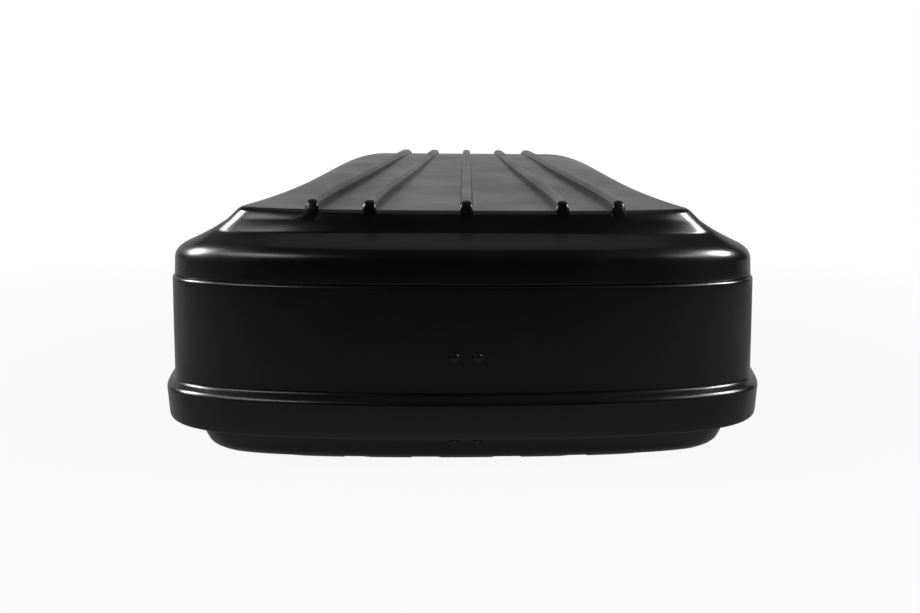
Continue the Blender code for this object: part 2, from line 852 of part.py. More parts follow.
def hinge_places():
    start = HINGE_MIDDLE - HINGE_PITCH * (HINGE_COUNT - 1) / 2
    return [start + HINGE_PITCH * k for k in range(HINGE_COUNT)]


def hinge_rivet_ys(y):
    return [y + side * HINGE_LENGTH * 0.28 for side in (-1, 1)]


def lid_leaf_rivets(tree, y):
    z = HINGE_Z + LEAF_HEIGHT * 0.70
    grip = SHEET + SKIRT_DRAFT / 2 + LEAF_SHEET + GAP
    spots = []
    for at in hinge_rivet_ys(y):
        place, normal = on_face(tree, (-WIDTH, at, z), (1.0, 0.0, 0.0))
        spots.append(RivetSpot(place, normal, grip, SMALL_RIVET_HEAD, SMALL_RIVET_DOME))
    return spots


def base_leaf_rivets(y):
    x = HINGE_X + LEAF_REACH * 0.62
    z = FLANGE - GAP - LEAF_SHEET
    grip = SHEET + LEAF_SHEET + GAP
    return [
        RivetSpot((x, at, z), (0.0, 0.0, -1.0), grip, SMALL_RIVET_HEAD, SMALL_RIVET_DOME)
        for at in hinge_rivet_ys(y)
    ]


def knuckle(bm, low, high):
    profile = [(low, KNUCKLE), (high, KNUCKLE)]
    turned(bm, profile, (HINGE_X, 0.0, HINGE_Z), (0.0, 1.0, 0.0), 12)


def knuckle_bore(bm, low, high):
    radius = hole_radius(HINGE_PIN, 12)
    turned(bm, [(low, radius), (high, radius)], (HINGE_X, 0.0, HINGE_Z), (0.0, 1.0, 0.0), 12)


def hinge_leaf(name, plate, tongue, lugs, bore, parent):
    """A plate, lugs joined to it by tongues, and the pin's bore."""
    bm = bmesh.new()
    prism(bm, plate[0], "Y", *plate[1])
    made = finish(name, bm, ZINC, parent)
    for number, (low, high) in enumerate(lugs):
        bm = bmesh.new()
        knuckle(bm, low, high)
        combine(made, "UNION", tool(f"add_{name}_lug_{number}", bm))
        bm = bmesh.new()
        prism(bm, tongue, "Y", low + 0.0004, high - 0.0004)
        combine(made, "UNION", tool(f"add_{name}_tongue_{number}", bm))
    bm = bmesh.new()
    knuckle_bore(bm, *bore)
    combine(made, "DIFFERENCE", tool(f"cut_{name}", bm))
    return made


def rectangle(x0, x1, z0, z1):
    return [(x0, z0), (x1, z0), (x1, z1), (x0, z1)]


def make_hinge(number, y, lid_spots, lid_parent):
    half = HINGE_LENGTH / 2
    ends = ((y - half, y - half + LUG_LENGTH), (y + half - LUG_LENGTH, y + half))
    centre = (ends[0][1] + GAP, ends[1][0] - GAP)
    bore = (y - half - 0.002, y + half + 0.002)
    leaf_top = HINGE_Z + KNUCKLE
    clear = HINGE_X + KNUCKLE + GAP
    base_plate = rectangle(clear, HINGE_X + LEAF_REACH, leaf_top - LEAF_SHEET, leaf_top)
    base_tongue = rectangle(HINGE_X, clear + 0.004, leaf_top - LEAF_SHEET + 0.0002, leaf_top - 0.0002)
    base_leaf = hinge_leaf(
        f"hinge_base_leaf_{number}", (base_plate, (y - half + 0.001, y + half - 0.001)),
        base_tongue, ends, bore, None,
    )
    fixed_rivets(base_leaf, base_leaf_rivets(y))
    outer = -(WIDTH / 2 - SKIRT_DRAFT - SHEET - GAP)
    lid_plate = rectangle(outer, outer + LEAF_SHEET, leaf_top + GAP, HINGE_Z + LEAF_HEIGHT)
    lid_tongue = rectangle(outer + 0.0002, outer + LEAF_SHEET - 0.0002, HINGE_Z, leaf_top + 0.004)
    lid_leaf = hinge_leaf(
        f"hinge_lid_leaf_{number}", (lid_plate, (y - half + 0.001, y + half - 0.001)),
        lid_tongue, (centre,), bore, lid_parent,
    )
    fixed_rivets(lid_leaf, lid_spots)
    bm = bmesh.new()
    head = HINGE_PIN * 1.5
    profile = [(y - half - 0.0018, head), (y - half - GAP, head), (y - half - GAP, HINGE_PIN)]
    profile += [(y + half + GAP, HINGE_PIN), (y + half + GAP, head), (y + half + 0.0018, head)]
    turned(bm, profile, (HINGE_X, 0.0, HINGE_Z), (0.0, 1.0, 0.0), 12)
    finish(f"hinge_pin_{number}", bm, ZINC, None, (HINGE_X, y, HINGE_Z))


# Floor rails, bolt slots and their covers

SIDES = {-1: "left", 1: "right"}


def slot_outlines(side, margin=0.0):
    size = SLOT_LENGTH + 2 * margin, SLOT_WIDTH + 2 * margin
    return {
        "rear": rounded_slot((side * RAIL_X, -SLOT_Y), *size),
        "front": rounded_slot((side * RAIL_X, SLOT_Y), *size),
    }


RAIL_BOTTOM = SHEET + GAP
RAIL_TOP = RAIL_BOTTOM + RAIL_SHEET


def rail_rivets(side, made, room=0.0):
    """The rail's three rivets, flush under the floor; with room, the holes for them."""
    bm = bmesh.new()
    reach = RAIL_LENGTH / 2 - 0.020
    flat = RIVET_SHANK + COUNTERSINK
    for y in (-reach, 0.0, reach):
        if room:
            wide, low = RIVET_SHANK + room, KEY_BOTTOM + COUNTERSINK + room * 0.5
            profile = [(low - 0.004, wide + 0.004), (low, wide), (RAIL_BOTTOM, wide)]
        else:
            profile = [(KEY_BOTTOM, flat), (KEY_BOTTOM + COUNTERSINK, RIVET_SHANK)]
            profile += [(RAIL_TOP - 0.0005, RIVET_SHANK), (RAIL_TOP - 0.0005, SMALL_RIVET_HEAD)]
            profile += [(RAIL_TOP + 0.0008, SMALL_RIVET_HEAD * 0.86), (RAIL_TOP + SMALL_RIVET_DOME, 0.0)]
        turned(bm, profile, (side * RAIL_X, y, 0.0), (0.0, 0.0, 1.0), 8)
    return tool(f"{made}_rail_{SIDES[side]}", bm)


def make_rail(side):
    bm = bmesh.new()
    low, high = side * RAIL_X - RAIL_WIDTH / 2, side * RAIL_X + RAIL_WIDTH / 2
    bead = RAIL_TOP + RAIL_BEAD
    outline = [(low, RAIL_BOTTOM), (high, RAIL_BOTTOM), (high, bead)]
    outline += [(high - RAIL_SHEET, bead), (high - RAIL_SHEET, RAIL_TOP)]
    outline += [(low + RAIL_SHEET, RAIL_TOP), (low + RAIL_SHEET, bead)]
    outline += [(low, bead)]
    prism(bm, outline, "Y", -RAIL_LENGTH / 2, RAIL_LENGTH / 2)
    made = finish(f"floor_rail_{SIDES[side]}", bm, ZINC)
    bm = bmesh.new()
    for outline in slot_outlines(side).values():
        prism(bm, outline, "Z", -0.005, RAIL_TOP + 0.010)
    slots = tool(f"cut_slots_{SIDES[side]}", bm)
    combine(made, "DIFFERENCE", slots)
    combine(made, "UNION", rail_rivets(side, "add"))
    return slots, rail_rivets(side, "cut", 2 * GAP)


def make_slot_covers(side):
    """A rubber strip over each slot, with a key that fills the slot."""
    keys = slot_outlines(side, -GAP)
    for place, outline in slot_outlines(side, COVER_MARGIN).items():
        name = f"slot_cover_{place}_{SIDES[side]}"
        bm = bmesh.new()
        prism(bm, outline, "Z", RAIL_TOP + GAP, RAIL_TOP + GAP + COVER_SHEET)
        made = finish(name, bm, RUBBER)
        bm = bmesh.new()
        prism(bm, keys[place], "Z", KEY_BOTTOM, RAIL_TOP + GAP + COVER_SHEET / 2)
        combine(made, "UNION", tool(f"add_{name}_key", bm))


# Lock, locking bar, guides and catches

LID_WALL_IN = WIDTH / 2 - WALL_INSET - SHEET
LID_WALL_OUT = WIDTH / 2 - LEDGE_INSET
HOUSING_OUT = LID_WALL_IN - GAP
HOUSING_IN = HOUSING_OUT - HOUSING_DEPTH
CAM_OUT = HOUSING_IN - GAP
CAM_IN = CAM_OUT - CAM_SHEET
BAR_OUT = CAM_IN - GAP
BAR_IN = BAR_OUT - BAR_SHEET
LIP_IN = WIDTH / 2 - LIP_INSET - SHEET


def make_lock(lid_parent):
    """Housing and collar on the lid; barrel and cam turn together about X."""
    half = HOUSING_SIDE / 2
    low, high = LOCK_Z - half * 0.9, LOCK_Z + half
    bm = bmesh.new()
    outline = [(-half, low), (half, low), (half, high - 0.005), (half - 0.005, high)]
    outline += [(-half + 0.005, high), (-half, high - 0.005)]
    prism(bm, outline, "X", HOUSING_IN, HOUSING_OUT)
    housing = finish("lock_housing", bm, DARK_PLASTIC, lid_parent)
    bm = bmesh.new()
    radius = hole_radius(BARREL, 16)
    origin, axis = (0.0, 0.0, LOCK_Z), (1.0, 0.0, 0.0)
    turned(bm, [(HOUSING_IN - 0.005, radius), (LID_WALL_OUT + 0.010, radius)], origin, axis, 16)
    bore = tool("cut_lock_bore", bm)
    combine(housing, "DIFFERENCE", bore)
    bm = bmesh.new()
    face = LID_WALL_OUT + GAP
    turned(bm, [(face, COLLAR), (face + COLLAR_HEIGHT * 0.6, COLLAR), (face + COLLAR_HEIGHT, COLLAR * 0.88)], origin, axis, 20)
    combine(finish("lock_collar", bm, CHROME, lid_parent), "DIFFERENCE", bore)
    pivot = empty("lock_axis", (HOUSING_IN, 0.0, LOCK_Z), lid_parent)
    bm = bmesh.new()
    turned(bm, [(CAM_OUT + GAP, BARREL), (face + COLLAR_HEIGHT, BARREL)], origin, axis, 16)
    barrel = finish("lock_barrel", bm, CHROME, pivot, (HOUSING_IN, 0.0, LOCK_Z))
    wide, tall, deep = KEYWAY
    bm = bmesh.new()
    outline = [(-wide / 2, LOCK_Z - tall / 2), (wide / 2, LOCK_Z - tall / 2)]
    outline += [(wide / 2, LOCK_Z + tall / 2), (-wide / 2, LOCK_Z + tall / 2)]
    prism(bm, outline, "X", face + COLLAR_HEIGHT - deep, face + COLLAR_HEIGHT + 0.002)
    combine(barrel, "DIFFERENCE", tool("cut_keyway", bm))
    make_cam(pivot)
    return bore


def make_cam(pivot):
    """A disc on the barrel's tail, whose stud drives the bar's fork."""
    bm = bmesh.new()
    turned(bm, [(CAM_IN, CAM), (CAM_OUT, CAM)], (0.0, 0.0, LOCK_Z), (1.0, 0.0, 0.0), 16)
    cam = finish("lock_cam", bm, ZINC, pivot, (CAM_OUT, 0.0, LOCK_Z))
    turn = -math.pi / 4
    y, z = CAM_PIN_REACH * math.sin(turn), LOCK_Z - CAM_PIN_REACH * math.cos(turn)
    bm = bmesh.new()
    turned(bm, [(BAR_IN - 0.001, CAM_PIN), (CAM_OUT - 0.0005, CAM_PIN)], (0.0, y, z), (1.0, 0.0, 0.0), 12)
    combine(cam, "UNION", tool("add_cam_stud", bm))


def bar_outline():
    """The bar in side view at rest: hooks below it and the fork above it."""
    top = BAR_BOTTOM + BAR_HEIGHT
    half = BAR_LENGTH / 2
    middle = -CAM_PIN_REACH * math.sin(math.pi / 4)
    slot_floor = LOCK_Z - CAM_PIN_REACH - CAM_PIN - RUNNING * 2
    points = [(-half, BAR_BOTTOM)]
    for k in (-1, 0, 1):
        back = k * HOOK_PITCH - HOOK_WIDTH / 2
        front = back + HOOK_WIDTH
        points += [(back, BAR_BOTTOM), (back, HOOK_BOTTOM), (front + TOE_LENGTH, HOOK_BOTTOM)]
        points += [(front + TOE_LENGTH, HOOK_BOTTOM + TOE_HEIGHT), (front, HOOK_BOTTOM + TOE_HEIGHT)]
        points.append((front, BAR_BOTTOM))
    points += [(half, BAR_BOTTOM), (half, top), (middle + FORK_HALF, top)]
    points += [(middle + FORK_HALF, FORK_TOP), (middle + FORK_SLOT / 2, FORK_TOP)]
    points += [(middle + FORK_SLOT / 2, slot_floor), (middle - FORK_SLOT / 2, slot_floor)]
    points += [(middle - FORK_SLOT / 2, FORK_TOP), (middle - FORK_HALF, FORK_TOP)]
    points += [(middle - FORK_HALF, top), (-half, top)]
    return points


def guide_outline():
    """A clip round the bar, in end view, with its back on the lid's wall."""
    low, high = BAR_BOTTOM, BAR_BOTTOM + BAR_HEIGHT
    wall, room, lip = GUIDE_WALL, RUNNING, 0.005
    return [
        (HOUSING_OUT, low - room - wall),
        (HOUSING_OUT, high + room + wall),
        (BAR_IN - room - wall, high + room + wall),
        (BAR_IN - room - wall, high - lip),
        (BAR_IN - room, high - lip),
        (BAR_IN - room, high + room),
        (BAR_OUT + room, high + room),
        (BAR_OUT + room, low - room),
        (BAR_IN, low - room),
        (BAR_IN, low - room - wall),
    ]


def guide_places():
    return [side * GUIDE_PITCH * (k + 0.5) for k in range(2) for side in (-1, 1)]


def catch_rivets(y):
    z = (HOOK_BOTTOM + TOE_HEIGHT + LIP_TOP) / 2 + 0.001
    grip = SHEET + CATCH_SHEET + GAP
    return [
        RivetSpot((LIP_IN + SHEET, y + side * CATCH_LENGTH * 0.27, z), (1.0, 0.0, 0.0), grip, 0.0034, 0.0012)
        for side in (-1, 1)
    ]


def catch_places():
    """Each catch starts just ahead of where its hook's shank stops."""
    start = HOOK_WIDTH / 2 + BAR_TRAVEL + RUNNING * 2
    return [k * HOOK_PITCH + start + CATCH_LENGTH / 2 for k in (-1, 0, 1)]


def make_catch(number, y):
    shelf = HOOK_BOTTOM + TOE_HEIGHT + RUNNING
    path = [(LIP_IN - GAP, LIP_TOP - 0.0005), (LIP_IN - GAP, shelf), (BAR_IN - 0.003, shelf)]
    bm = bmesh.new()
    prism(bm, strip(path, -CATCH_SHEET), "Y", y - CATCH_LENGTH / 2, y + CATCH_LENGTH / 2)
    made = finish(f"lock_catch_{number}", bm, ZINC)
    fixed_rivets(made, catch_rivets(y))
    return rivet_holes(f"cut_catch_{number}", catch_rivets(y))


def make_bar(lid_parent):
    bm = bmesh.new()
    prism(bm, bar_outline(), "X", BAR_IN, BAR_OUT)
    place = (BAR_IN, 0.0, BAR_BOTTOM)
    finish("lock_bar", bm, ZINC, empty("bar_slide", place, lid_parent), place)
    for number, y in enumerate(guide_places(), 1):
        bm = bmesh.new()
        prism(bm, guide_outline(), "Y", y - GUIDE_LENGTH / 2, y + GUIDE_LENGTH / 2)
        finish(f"lock_bar_guide_{number}", bm, DARK_PLASTIC, lid_parent)


def clear_scene():
    for item in list(bpy.data.objects):
        bpy.data.objects.remove(item, do_unlink=True)


def main():
    clear_scene()
    lid_axis = empty("lid_hinge_axis", (HINGE_X, 0.0, HINGE_Z))
    lid_shell = Shell(LID_RINGS, lid_columns, LID_MIDDLE_SHARES, lid_cover)
    base_shell = Shell(BASE_RINGS, floor_columns, BASE_MIDDLE_SHARES, floor_cover)
    lid, lid_tree = formed_sheet("lid_shell", lid_shell, lid_axis, (HINGE_X, 0.0, HINGE_Z))
    base, base_tree = formed_sheet("base_tray", base_shell)

    base_cuts, lid_cuts = [], []
    for end in END_NAMES:
        base_holes, lid_holes = make_stay(end, base_tree, lid_tree, None, lid_axis)
        base_cuts.append(base_holes)
        lid_cuts.append(lid_holes)
    lid_hinge_spots, base_hinge_spots = [], []
    for number, y in enumerate(hinge_places(), 1):
        lid_spots = lid_leaf_rivets(lid_tree, y)
        make_hinge(number, y, lid_spots, lid_axis)
        lid_hinge_spots += lid_spots
        base_hinge_spots += base_leaf_rivets(y)
    lid_cuts.append(rivet_holes("cut_lid_hinges", lid_hinge_spots))
    base_cuts.append(rivet_holes("cut_base_hinges", base_hinge_spots))

    for side in SIDES:
        base_cuts += make_rail(side)
        make_slot_covers(side)
    lid_cuts.append(make_lock(lid_axis))
    make_bar(lid_axis)
    for number, y in enumerate(catch_places(), 1):
        base_cuts.append(make_catch(number, y))
    for cutter in base_cuts:
        combine(base, "DIFFERENCE", cutter)
    for cutter in lid_cuts:
        combine(lid, "DIFFERENCE", cutter)


main()
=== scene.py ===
import json
import math
from collections import namedtuple

import bmesh
import bpy
import numpy as np
from mathutils import Matrix, Vector


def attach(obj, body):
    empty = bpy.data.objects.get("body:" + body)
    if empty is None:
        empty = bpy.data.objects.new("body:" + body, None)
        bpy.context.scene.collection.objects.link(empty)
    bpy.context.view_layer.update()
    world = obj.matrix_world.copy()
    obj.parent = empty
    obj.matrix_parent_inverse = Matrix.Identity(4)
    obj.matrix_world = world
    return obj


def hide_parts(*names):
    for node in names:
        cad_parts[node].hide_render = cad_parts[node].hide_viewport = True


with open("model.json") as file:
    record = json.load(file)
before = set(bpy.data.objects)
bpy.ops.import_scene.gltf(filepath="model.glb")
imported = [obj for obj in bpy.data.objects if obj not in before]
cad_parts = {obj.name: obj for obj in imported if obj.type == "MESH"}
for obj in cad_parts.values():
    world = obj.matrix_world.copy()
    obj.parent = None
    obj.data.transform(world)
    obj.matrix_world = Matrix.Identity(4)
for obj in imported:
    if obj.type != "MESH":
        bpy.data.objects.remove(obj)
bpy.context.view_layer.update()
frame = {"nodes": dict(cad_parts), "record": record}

# The camera, for an image of 920 by 613 pixels
IMAGE_WIDTH = 920
FOCAL_PIXELS = 1560.0
SENSOR = 36.0
PRINCIPAL_X = 574.5
CAMERA_PLACE = (0.0, -2.643, 0.459)
CAMERA_PITCH = 7.40
CAMERA_YAW = 4.0
CAMERA_ROLL = 0.55
CLIP_START = 0.01

# Overall size
LENGTH = 1.400
WIDTH = 0.808
SHEET = 0.004

# Plan outline: how far the rounding of each end reaches along the sides
REAR_ROUND = 0.240
NOSE_ROUND = 0.360
REAR_CORNER = 0.93
NOSE_CORNER = 0.80
REAR_POWER = 4
NOSE_POWER = 2.4
NARROWING = 0.380
OUTLINE_PASSES = 8

# Heights of the lid's forms, at the middle of the rear end
SKIRT_BOTTOM = 0.0344
SKIRT_TOP = 0.0795
LEDGE_OUTER = 0.0838
LEDGE_INNER = 0.0902
LEDGE_RISE = 0.012
RISE_START = 0.120
RISE_LENGTH = 0.160
HEM_RISE_START = 0.040
STEP = 0.2291
CREASE = 0.2744
PLATEAU_FOOT = 0.2927
PLATEAU_WAIST = 0.3065
PLATEAU_REAR = 0.3210
CREST = 0.3650
CREST_DEPTH = 0.980
CREST_POWER = 1.25
NOSE_FALL = 0.90
SIDE_DIP = 0.0068
NOSE_DROP = 0.0525
NOSE_DROP_START = 0.700
EDGE_ROUND_REAR = 0.009
EDGE_ROUND_CREST = 0.055
EDGE_DROP = 0.0050
EDGE_DROP_CREST = 0.0110

# Ribs on the lid's top
RIB_REAR = (0.0, 0.125, 0.199)
RIB_NOSE = (0.0, 0.048, 0.096)
RIB_BEND = 0.500
RIB_BEND_POWER = 2.5
RIB_HEIGHT_REAR = 0.013
RIB_HEIGHT_CREST = 0.007
RIB_WIDTH_REAR = 0.018
RIB_WIDTH_CREST = 0.014
RIB_SQUARENESS = 3.6
RIB_RAMP = 0.003
RIB_FADE_START = 1.060
RIB_FADE_END = 1.190

# Base tray
LIP_INSET = 0.0115
LIP_TOP = 0.0855
PAN_ROUND = 0.160
FLANGE = 0.0385
PAD_DEPTH = 0.0020
PAD_EDGES = ((0.0, 0.033), (0.072, 0.124), (0.159, 0.211))
PAD_RAMP = 0.0030

# Cuts through the two sheets: the lock's bore and the slots for the roof-bar clamps
LOCK_Z = 0.118
LOCK_BORE = 0.0104
LOCK_CUT_DEPTH = 0.030
LOCK_STEPS = 64
RAIL_X = 0.185
SLOT_Y = 0.220
SLOT_LENGTH = 0.180
SLOT_WIDTH = 0.010
SLOT_STEPS = 12
CUT_REACH = 0.015

# How finely the surfaces are divided, and how corners are shaded and rounded, in degrees
ROW_STEP = 0.010
CORNER_STEPS = 6
GRID_PASSES = 7
SHARP_ANGLE = 40
FLAT_ANGLE = 1.0
BEVEL_STEPS = 2
WELD = 1e-6

# One ring of a formed sheet. dip lowers it towards the sides, drop lowers it at the nose,
# round is where its rear rounding ends, narrow draws it in, and rise lifts it from start on
FIELDS = "rear side nose height dip drop round narrow rise start"
Ring = namedtuple("Ring", FIELDS)


def ring(
    rear, side, nose, height,
    dip=0.0, drop=0.0, round_end=REAR_ROUND, narrow=0.0, rise=0.0, start=RISE_START,
):
    """Insets from the overall outline at the rear, the sides and the nose, and a height."""
    return Ring(rear, side, nose, height, dip, drop, round_end, narrow, rise, start)


PLATEAU = ring(0.066, 0.086, 0.190, 0.0, round_end=0.150, narrow=0.123)
FLOOR_EDGE = ring(0.056, 0.100, 0.066, PAD_DEPTH, round_end=PAN_ROUND)


def smooth(value, low, high):
    share = np.clip((value - low) / (high - low), 0.0, 1.0)
    return share * share * (3.0 - 2.0 * share)


# Outline of one ring, with depths from the rear end


def body_half_width(item, depth):
    gone = 1.0 - np.exp(-np.maximum(0.0, depth - item.rear) / NARROWING)
    return WIDTH / 2 - item.side - item.narrow * gone


def rear_share(item, depth):
    reach = item.round - item.rear
    share = np.clip(1.0 - (depth - item.rear) / reach, 0.0, 1.0)
    return np.sqrt(1.0 - share**REAR_POWER)


def nose_share(item, depth):
    reach = NOSE_ROUND - item.nose
    share = np.clip(1.0 - (LENGTH - item.nose - depth) / reach, 0.0, 1.0)
    return np.sqrt(1.0 - share**NOSE_POWER)


def half_width(item, depth):
    ends = np.minimum(rear_share(item, depth), nose_share(item, depth))
    return body_half_width(item, depth) * ends


def rear_depth(item, x):
    depth = item.rear + 0.0 * x
    for _ in range(OUTLINE_PASSES):
        share = np.minimum(1.0, np.abs(x) / body_half_width(item, depth))
        back = 1.0 - (1.0 - share**2) ** (1.0 / REAR_POWER)
        depth = item.rear + (item.round - item.rear) * back
    return depth


def nose_depth(item, x):
    depth = LENGTH - item.nose + 0.0 * x
    for _ in range(OUTLINE_PASSES):
        share = np.minimum(1.0, np.abs(x) / body_half_width(item, depth))
        back = 1.0 - (1.0 - share**2) ** (1.0 / NOSE_POWER)
        depth = LENGTH - item.nose - (NOSE_ROUND - item.nose) * back
    return depth


def rear_corner(item):
    """Depth at which the ring's rear run of points ends and its side run starts."""
    share = (1.0 - REAR_CORNER**2) ** (1.0 / REAR_POWER)
    return item.rear + (item.round - item.rear) * (1.0 - share)


def nose_corner(item):
    """Depth at which the ring's side run of points ends and its nose run starts."""
    share = (1.0 - NOSE_CORNER**2) ** (1.0 / NOSE_POWER)
    return LENGTH - item.nose - (NOSE_ROUND - item.nose) * (1.0 - share)


def ring_height(item, x, depth):
    across = np.minimum(1.0, np.abs(x) / body_half_width(item, depth)) ** 2
    across = across + (1.0 - across) * smooth(depth, REAR_ROUND, LENGTH / 2)
    drop = item.drop * smooth(depth, NOSE_DROP_START, LENGTH - item.nose)
    rise = item.rise * smooth(depth, item.start, item.start + RISE_LENGTH)
    return item.height - item.dip * across - drop + rise


# The lid's top


def top_height(depth):
    share = np.clip((depth - PLATEAU.rear) / (CREST_DEPTH - PLATEAU.rear), 0.0, 1.0)
    rise = (CREST - PLATEAU_REAR) * np.sin(share * math.pi / 2) ** CREST_POWER
    return PLATEAU_REAR + rise - NOSE_FALL * np.maximum(0.0, depth - CREST_DEPTH) ** 2


def along(rear, crest, depth):
    """A value that changes from the rear to the crest."""
    return rear + (crest - rear) * smooth(depth, 0.0, CREST_DEPTH)


def edge_drop(x, depth):
    """How far the plateau falls where it rounds over at its edge."""
    near = np.minimum(depth - rear_depth(PLATEAU, x), half_width(PLATEAU, depth) - np.abs(x))
    near = np.minimum(near, nose_depth(PLATEAU, x) - depth)
    share = 1.0 - np.clip(near / along(EDGE_ROUND_REAR, EDGE_ROUND_CREST, depth), 0.0, 1.0)
    return along(EDGE_DROP, EDGE_DROP_CREST, depth) * share**2


def rib_centre(index, depth):
    rear, nose = RIB_REAR[index], RIB_NOSE[index]
    return nose + (rear - nose) / (1.0 + (depth / RIB_BEND) ** RIB_BEND_POWER)


def rib_half(depth):
    return along(RIB_WIDTH_REAR, RIB_WIDTH_CREST, depth) / 2


def rib_lift(x, depth):
    """Height of the ribs above the plateau: steep at the rear end, faded out at the nose."""
    across = 0.0 * x
    for index in range(len(RIB_REAR)):
        off = np.abs(np.abs(x) - rib_centre(index, depth)) / rib_half(depth)
        across = np.maximum(across, np.sqrt(1.0 - np.clip(off, 0.0, 1.0) ** RIB_SQUARENESS))
    start = np.clip((depth - rear_depth(PLATEAU, x)) / RIB_RAMP, 0.0, 1.0)
    start = np.sqrt(1.0 - (1.0 - start) ** 2)
    end = 1.0 - smooth(depth, RIB_FADE_START, RIB_FADE_END)
    return along(RIB_HEIGHT_REAR, RIB_HEIGHT_CREST, depth) * across * start * end


def lid_cover(x, depth):
    return top_height(depth) - edge_drop(x, depth) + rib_lift(x, depth)


def floor_cover(x, depth):
    """Height of the pan's floor, which stands on its pads."""
    outside = [np.maximum(low - np.abs(x), np.abs(x) - high) for low, high in PAD_EDGES]
    return PAD_DEPTH * smooth(np.min(outside, axis=0), 0.0, PAD_RAMP)


def lid_knots(depth, edge):
    """X of the ribs' edges on the right half, from the middle to the plateau's edge."""
    half = rib_half(depth)
    knots = [0.0 * depth, half]
    for index in range(1, len(RIB_REAR)):
        middle = rib_centre(index, depth)
        knots += [middle - half, middle + half]
    return knots + [edge + 0.0 * depth]


def floor_knots(depth, edge):
    """X of the pads' edges on the right half, from the middle to the floor's edge."""
    knots = []
    for low, high in PAD_EDGES:
        knots += [low - PAD_RAMP] if low else []
        knots += [low, high, high + PAD_RAMP]
    return [knot + 0.0 * depth for knot in knots] + [edge + 0.0 * depth]


# Surface made of rings and a grid


def spread(parts):
    """Shares from 0 to 1: (end, count) gives where each run of even steps ends."""
    shares = [0.0]
    for end, count in parts:
        start = shares[-1]
        shares += [start + (end - start) * (k + 1) / count for k in range(count)]
    return np.array(shares)


def part_way(start, end, reach):
    """The ring that lies the given distance from start on the way to end."""
    length = math.hypot(end.rear - start.rear, end.height - start.height)
    share = min(0.5, reach / length)
    return np.array(start) + (np.array(end) - np.array(start)) * share


def rounded(profile):
    """Rings along a profile whose corners are rounded, each as far as its reach says."""
    rows = [np.array(profile[0][0])]
    for (before, _), (here, reach), (after, _) in zip(profile, profile[1:], profile[2:]):
        back = part_way(here, before, reach)
        ahead = part_way(here, after, reach)
        for k in range(CORNER_STEPS + 1):
            t = k / CORNER_STEPS
            rows.append(back * (1 - t) ** 2 + np.array(here) * 2 * t * (1 - t) + ahead * t**2)
    rows.append(np.array(profile[-1][0]))
    dense = [rows[0]]
    for one, two in zip(rows, rows[1:]):
        gap = np.hypot(two[0] - one[0], two[3] - one[3])
        count = max(1, int(gap / ROW_STEP))
        dense += [one + (two - one) * (k + 1) / count for k in range(count)]
    return [Ring(*row) for row in dense]


# Rows of the CAD model's own grids, as shares of the length: along the side, the lid's middle and
# the floor's middle. They keep the rows of both models in step
CAD_SIDE = (0.0, 0.03, 0.07, 0.14, 0.25, 0.37, 0.49, 0.61, 0.72, 0.81, 0.86, 0.91, 0.96, 1.0)
CAD_LID = (0.0, 0.0035, 0.014, 0.06, 0.14, 0.24, 0.35, 0.46, 0.57, 0.68, 0.79, 0.89, 0.965, 1.0)
CAD_BASE = (0.0, 0.02, 0.06, 0.13, 0.24, 0.36, 0.48, 0.60, 0.71, 0.80, 0.87, 0.93, 0.975, 1.0)


def grid_rows(border, knots, segments, middle, side):
    """X and depth of every grid point, row by row."""
    right = [(k, f) for k, fractions in enumerate(segments) for f in fractions]
    right.append((len(segments) - 1, 1.0))
    index = np.array([k for k, _ in right])
    fraction = np.array([f for _, f in right])
    sign = np.concatenate([-np.ones(len(right) - 1), np.ones(len(right))])
    index = np.concatenate([index[:0:-1], index])
    fraction = np.concatenate([fraction[:0:-1], fraction])
    low, high = rear_corner(border), nose_corner(border)
    bow_rear = low - border.rear
    bow_nose = high - (LENGTH - border.nose)
    rows = []
    for share, side_share in zip(middle, side):
        end = low + side_share * (high - low)
        centre = border.rear + share * (LENGTH - border.nose - border.rear)
        edge = half_width(border, end)
        x = 0.0 * fraction
        for _ in range(GRID_PASSES):
            reach = np.minimum(1.0, np.abs(x) / edge)
            at_rear = rear_depth(border, reach * half_width(border, low)) - border.rear
            at_nose = nose_depth(border, reach * half_width(border, high)) - (LENGTH - border.nose)
            bend = at_rear / bow_rear * (1 - side_share) + at_nose / bow_nose * side_share
            bend[0] = bend[-1] = 1.0
            depth = centre + (end - centre) * bend
            stops = np.array(knots(depth, edge))
            pick = np.arange(len(index))
            x = stops[index, pick] * (1 - fraction) + stops[index + 1, pick] * fraction
        x[0] = x[-1] = half_width(border, depth[0])
        rows.append((x * sign, depth))
    return rows


def ring_loop(item, places):
    """X and depth of a ring's points at the same places as the grid's border."""
    low, high = rear_corner(item), nose_corner(item)
    rear_edge, nose_edge = half_width(item, low), half_width(item, high)
    runs = (
        ("rear", rear_edge, rear_depth),
        ("right", 1, None),
        ("nose", nose_edge, nose_depth),
        ("left", -1, None),
    )
    xs, depths = [], []
    for name, edge, reach in runs:
        shares = np.array([share for run, share in places if run == name])
        if reach:
            x = shares * edge
            depth = reach(item, x)
        else:
            depth = low + shares * (high - low)
            x = half_width(item, depth) * edge
        xs.append(x)
        depths.append(depth)
    return np.concatenate(xs), np.concatenate(depths)


